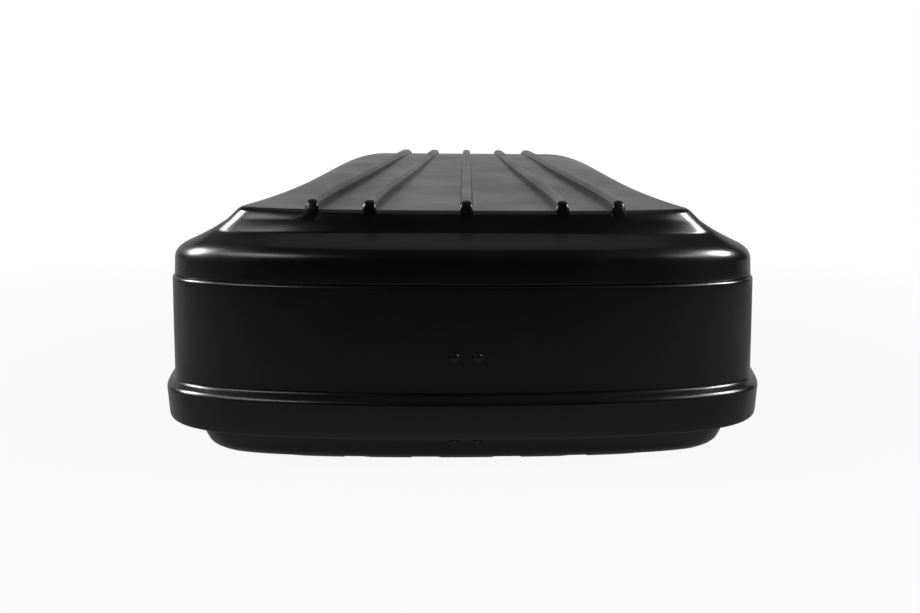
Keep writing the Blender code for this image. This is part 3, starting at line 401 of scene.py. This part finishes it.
def shell_mesh(name, rings, border, knots, segments, middle, side, cover):
    """Outer face of a formed sheet: grid first, then each ring out to the rim."""
    rows = grid_rows(border, knots, segments, middle, side)
    count = len(rows[0][0])
    points = []
    for x, depth in rows:
        points.append(np.stack([x, depth - LENGTH / 2, cover(x, depth)], axis=1))
    faces = []
    for r in range(len(rows) - 1):
        for i in range(count - 1):
            a = r * count + i
            faces.append((a, a + 1, a + count + 1, a + count))
    last = (len(rows) - 1) * count
    rear_edge = half_width(border, rear_corner(border))
    nose_edge = half_width(border, nose_corner(border))
    inner = list(range(count))
    places = [("rear", s) for s in rows[0][0] / rear_edge]
    for r in range(1, len(rows) - 1):
        inner.append(r * count + count - 1)
        places.append(("right", side[r]))
    inner += list(range(last + count - 1, last - 1, -1))
    places += [("nose", s) for s in (rows[-1][0] / nose_edge)[::-1]]
    for r in range(len(rows) - 2, 0, -1):
        inner.append(r * count)
        places.append(("left", side[r]))
    total = len(rows) * count
    for item in reversed(rings):
        x, depth = ring_loop(item, places)
        points.append(np.stack([x, depth - LENGTH / 2, ring_height(item, x, depth)], axis=1))
        outer = list(range(total, total + len(x)))
        total += len(x)
        for i in range(len(inner)):
            j = (i + 1) % len(inner)
            faces.append((outer[i], outer[j], inner[j], inner[i]))
        inner = outer
    mesh = bpy.data.meshes.new(name)
    mesh.from_pydata(np.concatenate(points).tolist(), [], faces)
    bm = bmesh.new()
    bm.from_mesh(mesh)
    bmesh.ops.recalc_face_normals(bm, faces=bm.faces)
    bm.to_mesh(mesh)
    bm.free()
    return mesh


def add_object(name, mesh, node_name):
    """Puts a mesh in the scene in place of one CAD piece, with that piece's material."""
    slot = SLOT_OF[node_name]
    made = bpy.data.objects.new(name, mesh)
    bpy.context.scene.collection.objects.link(made)
    mesh.materials.clear()
    mesh.materials.append(MATERIALS[slot])
    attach(made, BODY_OF[node_name])
    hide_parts(node_name)
    return made


def applied(made):
    """Turns an object's modifiers into plain mesh and shades it smooth up to an angle."""
    graph = bpy.context.evaluated_depsgraph_get()
    mesh = bpy.data.meshes.new_from_object(made.evaluated_get(graph))
    made.modifiers.clear()
    made.data = mesh
    mesh.shade_smooth()
    mesh.set_sharp_from_angle(angle=math.radians(SHARP_ANGLE))


def cutter(name, bm):
    """An object that cuts a hole and is then removed."""
    mesh = bpy.data.meshes.new(name)
    bm.to_mesh(mesh)
    bm.free()
    made = bpy.data.objects.new(name, mesh)
    bpy.context.scene.collection.objects.link(made)
    return made


def lock_cutter(name):
    """A round cutter along X through the lid's right wall."""
    bm = bmesh.new()
    middle = Matrix.Translation((WIDTH / 2 - LOCK_CUT_DEPTH / 2, 0.0, LOCK_Z))
    bmesh.ops.create_cone(
        bm, cap_ends=True, segments=LOCK_STEPS, radius1=LOCK_BORE, radius2=LOCK_BORE,
        depth=LOCK_CUT_DEPTH, matrix=middle @ Matrix.Rotation(math.pi / 2, 4, "Y"),
    )
    return cutter(name, bm)


def slot_cutter(name, middle_x, middle_y):
    """An upright cutter through the pan's floor, with round ends along Y."""
    bm = bmesh.new()
    run = SLOT_LENGTH / 2 - SLOT_WIDTH / 2
    outline = []
    for end in (1, -1):
        for k in range(SLOT_STEPS + 1):
            angle = math.pi * k / SLOT_STEPS + (0.0 if end > 0 else math.pi)
            x = middle_x + SLOT_WIDTH / 2 * math.cos(angle)
            outline.append((x, middle_y + end * run + SLOT_WIDTH / 2 * math.sin(angle)))
    low = [bm.verts.new((x, y, -CUT_REACH)) for x, y in outline]
    high = [bm.verts.new((x, y, CUT_REACH)) for x, y in outline]
    bm.faces.new(low[::-1])
    bm.faces.new(high)
    for i in range(len(outline)):
        j = (i + 1) % len(outline)
        bm.faces.new((low[i], low[j], high[j], high[i]))
    return cutter(name, bm)


def cut_through(made, cutters):
    """Cuts every cutter out of a piece and removes the cutters."""
    for other in cutters:
        modifier = made.modifiers.new(other.name, "BOOLEAN")
        modifier.operation = "DIFFERENCE"
        modifier.solver = "EXACT"
        modifier.object = other
    applied(made)
    for other in cutters:
        bpy.data.objects.remove(other)


def formed_sheet(name, node_name, *shell):
    """The outer face of a shell, thickened inwards to the sheet's thickness."""
    made = add_object(name, shell_mesh(name, *shell), node_name)
    sheet = made.modifiers.new("sheet", "SOLIDIFY")
    sheet.thickness = SHEET
    sheet.offset = -1.0
    sheet.use_even_offset = True
    sheet.use_quality_normals = True
    applied(made)
    return made


# Materials

GRAIN_SMOOTHNESS = 0.6
GRAIN_RANDOMNESS = 0.85
FINE_SCALE = 1.7
FINE_SHARE = 0.45
WAVE_SCALE = 9.0
WAVE_DEPTH = 0.0009
WAVE_RANGE = (0.3, 0.7)
PLASTIC_ROUGHNESS_SPREAD = (-0.04, 0.05)
PLASTIC_TINT = (0.8, 1.25)
MARKS_SCALE = 60.0
CLOUD_SCALE = 45.0
MARKS_STRENGTH = 0.6
METAL_ROUGHNESS_SPREAD = (-0.10, 0.12)
METAL_TINT = (0.82, 1.08)


def new_material(name):
    """A material with its nodes, its links and its main shader."""
    made = bpy.data.materials.new(name)
    made.use_nodes = True
    nodes = made.node_tree.nodes
    shader = nodes["Principled BSDF"]
    return made, nodes, made.node_tree.links, shader


def node(nodes, kind, **values):
    """A new node: each value is set as a property where it is one, and else as an input."""
    made = nodes.new(kind)
    for key, value in values.items():
        if hasattr(made, key):
            setattr(made, key, value)
        else:
            made.inputs[key.replace("_", " ")].default_value = value
    return made


def ranged(nodes, low, high, from_low=0.0, from_high=1.0, **values):
    """Maps one range of values to another."""
    made = node(nodes, "ShaderNodeMapRange", **values)
    made.inputs["From Min"].default_value = from_low
    made.inputs["From Max"].default_value = from_high
    made.inputs["To Min"].default_value = low
    made.inputs["To Max"].default_value = high
    return made


def tinted(nodes, links, colour, span, factor, shader):
    """Lets the colour vary between two shades of itself."""
    tint = node(nodes, "ShaderNodeMix", data_type="RGBA")
    for key, share in zip(("A", "B"), span):
        tint.inputs[key].default_value = (*[min(1.0, c * share) for c in colour], 1.0)
    links.new(factor.outputs["Fac"], tint.inputs["Factor"])
    links.new(tint.outputs["Result"], shader.inputs["Base Color"])


def plastic(name, colour, roughness, grain, depth, specular=0.5):
    """Moulded sheet plastic: pebbled grain, slow waves, and roughness that varies."""
    made, nodes, links, shader = new_material(name)
    shader.inputs["Specular IOR Level"].default_value = specular
    place = node(nodes, "ShaderNodeTexCoord")
    cells = node(
        nodes, "ShaderNodeTexVoronoi", feature="SMOOTH_F1",
        Scale=grain, Smoothness=GRAIN_SMOOTHNESS, Randomness=GRAIN_RANDOMNESS,
    )
    fine = node(nodes, "ShaderNodeTexNoise", Scale=grain * FINE_SCALE, Detail=3.0, Roughness=0.6)
    wave = node(nodes, "ShaderNodeTexNoise", Scale=WAVE_SCALE, Detail=2.0)
    for texture in (cells, fine, wave):
        links.new(place.outputs["Object"], texture.inputs["Vector"])
    mix = node(nodes, "ShaderNodeMath", operation="MULTIPLY_ADD")
    mix.inputs[1].default_value = FINE_SHARE
    links.new(fine.outputs["Fac"], mix.inputs[0])
    links.new(cells.outputs["Distance"], mix.inputs[2])
    bump = node(nodes, "ShaderNodeBump", Strength=1.0, Distance=depth)
    links.new(mix.outputs[0], bump.inputs["Height"])
    slow = node(nodes, "ShaderNodeBump", Strength=1.0, Distance=WAVE_DEPTH)
    links.new(wave.outputs["Fac"], slow.inputs["Height"])
    links.new(bump.outputs["Normal"], slow.inputs["Normal"])
    links.new(slow.outputs["Normal"], shader.inputs["Normal"])
    low, high = (roughness + off for off in PLASTIC_ROUGHNESS_SPREAD)
    rough = ranged(nodes, low, high, *WAVE_RANGE)
    links.new(wave.outputs["Fac"], rough.inputs["Value"])
    links.new(rough.outputs["Result"], shader.inputs["Roughness"])
    tinted(nodes, links, colour, PLASTIC_TINT, fine, shader)
    return made


def metal(name, colour, roughness, stretch, depth):
    """Plated or polished metal with rolling marks and slight cloudiness."""
    made, nodes, links, shader = new_material(name)
    shader.inputs["Metallic"].default_value = 1.0
    place = node(nodes, "ShaderNodeTexCoord")
    turn = node(nodes, "ShaderNodeMapping")
    turn.inputs["Scale"].default_value = stretch
    marks = node(nodes, "ShaderNodeTexNoise", Scale=MARKS_SCALE, Detail=4.0)
    cloud = node(nodes, "ShaderNodeTexNoise", Scale=CLOUD_SCALE, Detail=3.0)
    links.new(place.outputs["Object"], turn.inputs["Vector"])
    links.new(turn.outputs["Vector"], marks.inputs["Vector"])
    links.new(place.outputs["Object"], cloud.inputs["Vector"])
    low, high = (roughness + off for off in METAL_ROUGHNESS_SPREAD)
    rough = ranged(nodes, low, high)
    links.new(marks.outputs["Fac"], rough.inputs["Value"])
    links.new(rough.outputs["Result"], shader.inputs["Roughness"])
    tinted(nodes, links, colour, METAL_TINT, cloud, shader)
    bump = node(nodes, "ShaderNodeBump", Strength=MARKS_STRENGTH, Distance=depth)
    links.new(marks.outputs["Fac"], bump.inputs["Height"])
    links.new(bump.outputs["Normal"], shader.inputs["Normal"])
    return made


# Colour, roughness, scale of the grain, depth of the grain
PLASTICS = {
    "lid_plastic": ((0.0042, 0.0042, 0.0044), 0.24, 420.0, 0.00004),
    "base_plastic": ((0.0042, 0.0042, 0.0044), 0.26, 420.0, 0.00004),
    "guide_plastic": ((0.020, 0.020, 0.021), 0.50, 900.0, 0.00003),
    "cover_rubber": ((0.016, 0.016, 0.016), 0.78, 700.0, 0.00012, 0.35),
    "black_rivet": ((0.010, 0.010, 0.011), 0.22, 1500.0, 0.00002),
}
# Colour, roughness, stretch of the marks, depth of the marks
METALS = {
    "zinc_steel": ((0.60, 0.61, 0.63), 0.36, (1.0, 8.0, 1.0), 0.00003),
    "lock_chrome": ((0.80, 0.80, 0.82), 0.16, (1.0, 1.0, 1.0), 0.00001),
}
MATERIALS = {name: plastic(name, *values) for name, values in PLASTICS.items()}
MATERIALS.update({name: metal(name, *values) for name, values in METALS.items()})
BODIES = frame["record"]["behaviour"]["bodies"]
BODY_OF = {name: body for body, names in BODIES.items() for name in names}
SLOT_OF = {row["node"]: row["material_slot"] for row in frame["record"]["subparts"]}

# Lid and base: where the grid's columns lie between one knot and the next

RIB_FRACTIONS = (0.0, 0.01, 0.035, 0.08, 0.15, 0.25, 0.37, 0.50, 0.63, 0.75, 0.85, 0.92, 0.965, 0.99)
LID_SEGMENTS = (
    (0.0, 0.25, 0.50, 0.70, 0.84, 0.93, 0.98),
    (0.0, 0.15, 0.38, 0.62, 0.85),
    RIB_FRACTIONS,
    (0.0, 0.2, 0.5, 0.8),
    RIB_FRACTIONS,
    (0.0, 0.10, 0.25, 0.40, 0.55, 0.70, 0.82, 0.90, 0.95, 0.98),
)
FLOOR_SEGMENTS = (
    (0.0, 0.5),
    (0.0, 0.25, 0.5, 0.75),
    (0.0, 0.5),
    (0.0, 0.25, 0.5, 0.75),
    (0.0, 0.25, 0.5, 0.75),
    (0.0, 0.25, 0.5, 0.75),
    (0.0, 0.5),
    (0.0, 0.25, 0.5, 0.75),
    (0.0, 0.25, 0.5, 0.75),
    (0.0, 0.25, 0.5, 0.75),
    (0.0, 0.2, 0.4, 0.6, 0.75, 0.87, 0.95),
)

# Runs of grid rows from rear to nose: where each run ends, and its number of rows
LID_ROWS = ((0.0035, 5), (0.014, 6), (0.10, 10), (0.80, 44), (0.965, 22), (1.0, 7))
BASE_ROWS = ((0.06, 8), (0.24, 10), (0.80, 16), (0.93, 10), (1.0, 8))

# Rings from the rim inwards, each with the length of its rounding
LID_PROFILE = (
    (ring(0.0070, 0.0045, 0.0070, SKIRT_BOTTOM, rise=LEDGE_RISE, start=HEM_RISE_START), 0.0),
    (ring(0.0030, 0.0030, 0.0030, SKIRT_BOTTOM, rise=LEDGE_RISE, start=HEM_RISE_START), 0.0040),
    (ring(0.0, 0.0, 0.0, SKIRT_TOP, rise=LEDGE_RISE), 0.0020),
    (ring(0.0020, 0.0020, 0.0020, LEDGE_OUTER, rise=LEDGE_RISE), 0.0022),
    (ring(0.0115, 0.0102, 0.0125, LEDGE_INNER, rise=LEDGE_RISE), 0.0040),
    (ring(0.0137, 0.0095, 0.0351, STEP - 0.0030, drop=NOSE_DROP), 0.0018),
    (ring(0.0155, 0.0114, 0.0370, STEP - 0.0004, drop=NOSE_DROP), 0.0015),
    (ring(0.0182, 0.0141, 0.0397, STEP + 0.0002, drop=NOSE_DROP), 0.0006),
    (ring(0.0165, 0.0124, 0.0385, STEP + 0.0018, drop=NOSE_DROP), 0.0012),
    (ring(0.0185, 0.0136, 0.0560, CREASE - 0.0022, SIDE_DIP, 0.0455), 0.0150),
    (ring(0.0560, 0.0540, 0.1300, PLATEAU_FOOT, 0.0025, 0.036, 0.190, 0.050), 0.0025),
    (ring(0.0640, 0.0740, 0.1720, PLATEAU_WAIST, 0.0010, 0.012, 0.160, 0.100), 0.0060),
    (PLATEAU, 0.0),
)
BASE_PROFILE = (
    (ring(LIP_INSET, LIP_INSET, LIP_INSET, LIP_TOP), 0.0),
    (ring(LIP_INSET, LIP_INSET, LIP_INSET, FLANGE), 0.004),
    (ring(0.030, 0.053, 0.034, FLANGE, round_end=PAN_ROUND), 0.002),
    (ring(0.0325, 0.0555, 0.037, 0.0280, round_end=PAN_ROUND), 0.006),
    (ring(0.0375, 0.065, 0.043, 0.0100, round_end=PAN_ROUND), 0.008),
    (ring(0.045, 0.080, 0.052, 0.0035, round_end=PAN_ROUND), 0.006),
    (FLOOR_EDGE, 0.0),
)


def make_lid():
    middle = spread(LID_ROWS)
    side = np.interp(middle, CAD_LID, CAD_SIDE)
    return formed_sheet(
        "lid", "lid_shell",
        rounded(LID_PROFILE[:-1]), PLATEAU, lid_knots, LID_SEGMENTS, middle, side, lid_cover,
    )


def make_base():
    middle = spread(BASE_ROWS)
    side = np.interp(middle, CAD_BASE, CAD_SIDE)
    return formed_sheet(
        "base", "base_tray",
        rounded(BASE_PROFILE[:-1]), FLOOR_EDGE, floor_knots, FLOOR_SEGMENTS, middle, side, floor_cover,
    )


cut_through(make_lid(), [lock_cutter("lock_cutter")])
slots = [(side * RAIL_X, end * SLOT_Y) for side in (-1, 1) for end in (-1, 1)]
cut_through(make_base(), [slot_cutter(f"slot_cutter_{k}", *place) for k, place in enumerate(slots)])

# Hardware: the CAD pieces' own shapes with softened edges


def softened(name, width):
    """Stands for a CAD piece: the same shape with slightly rounded edges."""
    bm = bmesh.new()
    bm.from_mesh(frame["nodes"][name].data)
    bmesh.ops.remove_doubles(bm, verts=bm.verts, dist=WELD)
    flat = math.radians(FLAT_ANGLE)
    bmesh.ops.dissolve_limit(bm, angle_limit=flat, verts=bm.verts, edges=bm.edges)
    mesh = bpy.data.meshes.new(name)
    bm.to_mesh(mesh)
    bm.free()
    made = add_object(f"{name}_piece", mesh, name)
    bevel = made.modifiers.new("edges", "BEVEL")
    bevel.width = width
    bevel.segments = BEVEL_STEPS
    bevel.limit_method = "ANGLE"
    bevel.angle_limit = math.radians(SHARP_ANGLE)
    bevel.use_clamp_overlap = True
    applied(made)


EDGE_OF_SLOT = {
    "guide_plastic": 0.0005,
    "cover_rubber": 0.0006,
    "black_rivet": 0.0003,
    "zinc_steel": 0.0004,
    "lock_chrome": 0.0003,
}
for name in frame["nodes"]:
    if name not in ("lid_shell", "base_tray"):
        softened(name, EDGE_OF_SLOT[SLOT_OF[name]])

# Stage, light and camera

FLOOR_COLOUR = (0.16, 0.16, 0.16, 1.0)
FLOOR_ROUGHNESS = 0.9
FLOOR_REACH = 14.0
FLOOR_Z = -0.0005
# The floor is plain white to the camera from the second distance on, and keeps a share of its own
# shade up to the first
FLOOR_GLOW = 0.93
FLOOR_GLOW_RANGE = (0.7, 2.2)
# The object mirrors the backdrop, the floor in front of it, and the floor right under the object
BACKDROP_GLOSS = 0.42
BACKDROP_GLOSS_RANGE = (0.6, 1.6)
FLOOR_GLOSS = 0.20
FLOOR_GLOSS_RANGE = (0.90, 0.74)
BACKDROP_WIDE = 5.0
BACKDROP_BACK = 4.5
BACKDROP_HIGH = 3.2
WORLD_LEVEL = 0.012
LIGHT_TARGET = (0.0, -0.45, 0.22)
TOP_TARGET = (0.0, 0.0, 0.2)
# Place, target, size, power
LIGHTS = {
    "left_light": ((-2.3, -0.1, 1.4), LIGHT_TARGET, (0.9, 0.9), 80),
    "right_light": ((2.25, -0.55, 1.6), LIGHT_TARGET, (0.9, 0.9), 80),
    "left_front_light": ((-1.75, -1.75, 1.6), LIGHT_TARGET, (1.5, 0.5), 12),
    "right_front_light": ((2.0, -1.5, 1.6), LIGHT_TARGET, (0.8, 0.5), 6),
    "top_light": ((0.0, 0.3, 2.6), TOP_TARGET, (2.4, 2.4), 3),
}


def area_light(name, place, target, size, power):
    light = bpy.data.lights.new(name, "AREA")
    light.shape = "ELLIPSE"
    light.size, light.size_y = size
    light.energy = power
    made = bpy.data.objects.new(name, light)
    made.location = place
    way = Vector(target) - Vector(place)
    made.rotation_euler = way.to_track_quat("-Z", "Y").to_euler()
    bpy.context.scene.collection.objects.link(made)


def plane(name, corners, material):
    mesh = bpy.data.meshes.new(name)
    mesh.from_pydata(corners, [], [(0, 1, 2, 3)])
    mesh.materials.append(material)
    made = bpy.data.objects.new(name, mesh)
    bpy.context.scene.collection.objects.link(made)


def make_floor():
    """A pale floor, white to the camera, which keeps the shadow close to the object."""
    material, nodes, links, shader = new_material("floor")
    shader.inputs["Base Color"].default_value = FLOOR_COLOUR
    shader.inputs["Roughness"].default_value = FLOOR_ROUGHNESS
    shader.inputs["Specular IOR Level"].default_value = 0.0
    white = node(nodes, "ShaderNodeEmission", Strength=1.0)
    place = node(nodes, "ShaderNodeTexCoord")
    away = node(nodes, "ShaderNodeVectorMath", operation="LENGTH")
    links.new(place.outputs["Object"], away.inputs[0])
    share = ranged(nodes, FLOOR_GLOW, 1.0, *FLOOR_GLOW_RANGE)
    links.new(away.outputs["Value"], share.inputs["Value"])
    path = node(nodes, "ShaderNodeLightPath")
    camera_part = node(nodes, "ShaderNodeMath", operation="MULTIPLY")
    links.new(path.outputs["Is Camera Ray"], camera_part.inputs[0])
    links.new(share.outputs["Result"], camera_part.inputs[1])
    split = node(nodes, "ShaderNodeSeparateXYZ")
    links.new(place.outputs["Object"], split.inputs[0])
    smoothly = {"interpolation_type": "SMOOTHSTEP"}
    behind = ranged(nodes, 0.0, BACKDROP_GLOSS, *BACKDROP_GLOSS_RANGE, **smoothly)
    links.new(split.outputs["Y"], behind.inputs["Value"])
    under = ranged(nodes, 0.0, FLOOR_GLOSS, *FLOOR_GLOSS_RANGE, **smoothly)
    links.new(away.outputs["Value"], under.inputs["Value"])
    mirrored = node(nodes, "ShaderNodeMath", operation="MAXIMUM")
    links.new(behind.outputs["Result"], mirrored.inputs[0])
    links.new(under.outputs["Result"], mirrored.inputs[1])
    glossy_part = node(nodes, "ShaderNodeMath", operation="MULTIPLY")
    links.new(path.outputs["Is Glossy Ray"], glossy_part.inputs[0])
    links.new(mirrored.outputs[0], glossy_part.inputs[1])
    seen = node(nodes, "ShaderNodeMath", operation="MAXIMUM")
    links.new(camera_part.outputs[0], seen.inputs[0])
    links.new(glossy_part.outputs[0], seen.inputs[1])
    mix = node(nodes, "ShaderNodeMixShader")
    links.new(seen.outputs[0], mix.inputs[0])
    links.new(shader.outputs[0], mix.inputs[1])
    links.new(white.outputs[0], mix.inputs[2])
    links.new(mix.outputs[0], nodes["Material Output"].inputs["Surface"])
    corners = ((-1, -1), (1, -1), (1, 1), (-1, 1))
    plane("floor", [(x * FLOOR_REACH, y * FLOOR_REACH, FLOOR_Z) for x, y in corners], material)


def make_backdrop():
    """A white sheet behind the object, which its top and its outer edges mirror."""
    material, nodes, links, shader = new_material("backdrop")
    nodes.remove(shader)
    white = node(nodes, "ShaderNodeEmission")
    path = node(nodes, "ShaderNodeLightPath")
    glossy = node(nodes, "ShaderNodeMath", operation="MULTIPLY")
    glossy.inputs[1].default_value = BACKDROP_GLOSS
    links.new(path.outputs["Is Glossy Ray"], glossy.inputs[0])
    level = node(nodes, "ShaderNodeMath", operation="MAXIMUM")
    links.new(path.outputs["Is Camera Ray"], level.inputs[0])
    links.new(glossy.outputs[0], level.inputs[1])
    links.new(level.outputs[0], white.inputs["Strength"])
    links.new(white.outputs[0], nodes["Material Output"].inputs["Surface"])
    corners = ((-1, 0), (1, 0), (1, 1), (-1, 1))
    places = [(x * BACKDROP_WIDE, BACKDROP_BACK, z * BACKDROP_HIGH) for x, z in corners]
    plane("backdrop", places, material)


def make_world():
    """White to the camera, and nearly dark to the object."""
    world = bpy.data.worlds.new("studio")
    bpy.context.scene.world = world
    world.use_nodes = True
    nodes, links = world.node_tree.nodes, world.node_tree.links
    back = nodes["Background"]
    back.inputs["Color"].default_value = (1.0, 1.0, 1.0, 1.0)
    path = node(nodes, "ShaderNodeLightPath")
    level = ranged(nodes, WORLD_LEVEL, 1.0)
    links.new(path.outputs["Is Camera Ray"], level.inputs["Value"])
    links.new(level.outputs["Result"], back.inputs["Strength"])


make_floor()
make_backdrop()
make_world()
for name, values in LIGHTS.items():
    area_light(name, *values)

camera = bpy.data.objects.new("camera", bpy.data.cameras.new("camera"))
bpy.context.scene.collection.objects.link(camera)
camera.location = CAMERA_PLACE
yaw = Matrix.Rotation(-math.radians(CAMERA_YAW), 3, "Z")
tilt = Matrix.Rotation(math.radians(90.0 - CAMERA_PITCH), 3, "X")
roll = Matrix.Rotation(math.radians(CAMERA_ROLL), 3, "Z")
camera.rotation_euler = (yaw @ tilt @ roll).to_euler()
camera.data.sensor_width = SENSOR
camera.data.lens = FOCAL_PIXELS / IMAGE_WIDTH * SENSOR
camera.data.shift_x = (IMAGE_WIDTH / 2 - PRINCIPAL_X) / IMAGE_WIDTH
camera.data.clip_start = CLIP_START
bpy.context.scene.camera = camera
bpy.context.scene.view_settings.view_transform = "Standard"
